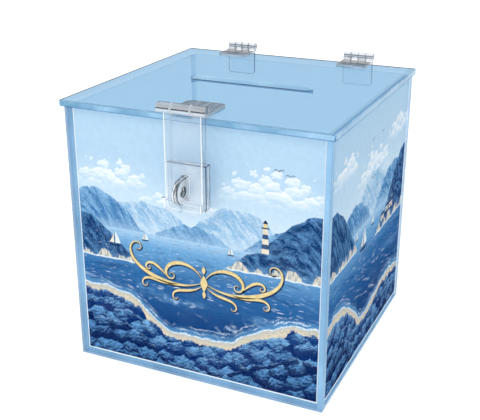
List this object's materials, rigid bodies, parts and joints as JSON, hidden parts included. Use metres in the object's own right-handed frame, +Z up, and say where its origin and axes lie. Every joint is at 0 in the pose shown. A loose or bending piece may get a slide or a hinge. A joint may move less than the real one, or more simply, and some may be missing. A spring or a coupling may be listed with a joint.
{
  "type": "ballot box",
  "caption": "Cube-shaped clear ballot box of cemented acrylic sheet with a slotted hinged lid, printed films inside two walls and a front hasp that takes a padlock.",
  "frame": {"origin": "middle of the underside, at the height of the surface that the box stands on", "axes": "+Z up, -Y towards the hasp at the front, +X to the right as seen from the front"},
  "size_m": [0.205, 0.2303, 0.2153],
  "materials": {
    "tinted_acrylic": "clear pale blue cast acrylic sheet, polished faces and edges",
    "printed_film": "colour print on satin film",
    "clear_moulding": "clear moulded plastic",
    "pin_steel": "drawn stainless wire"
  },
  "bodies": {
    "box": {"base_panel": "tinted_acrylic", "front_panel": "tinted_acrylic", "back_panel": "tinted_acrylic", "left_panel": "tinted_acrylic", "right_panel": "tinted_acrylic", "front_print_film": "printed_film", "right_print_film": "printed_film", "hinge_wall_leaf_left": "clear_moulding", "hinge_wall_leaf_right": "clear_moulding", "hinge_pin_left": "pin_steel", "hinge_pin_right": "pin_steel", "hasp_block": "clear_moulding", "padlock_eye": "clear_moulding"},
    "lid": {"lid_panel": "tinted_acrylic", "hinge_lid_leaf_left": "clear_moulding", "hinge_lid_leaf_right": "clear_moulding", "hasp_lid_leaf": "clear_moulding", "hasp_pin": "pin_steel"},
    "strap": {"hasp_strap": "clear_moulding"}
  },
  "joints": [
    {"name": "lid_hinge", "type": "hinge", "parent": "box", "child": "lid", "pos_m": [0, 0.1035, 0.21], "axis": [-1, 0, 0], "range_deg": [0, 240]},
    {"name": "strap_hinge", "type": "hinge", "parent": "lid", "child": "strap", "pos_m": [0, -0.11025, 0.2115], "axis": [-1, 0, 0], "range_deg": [0, 270]}
  ]
}
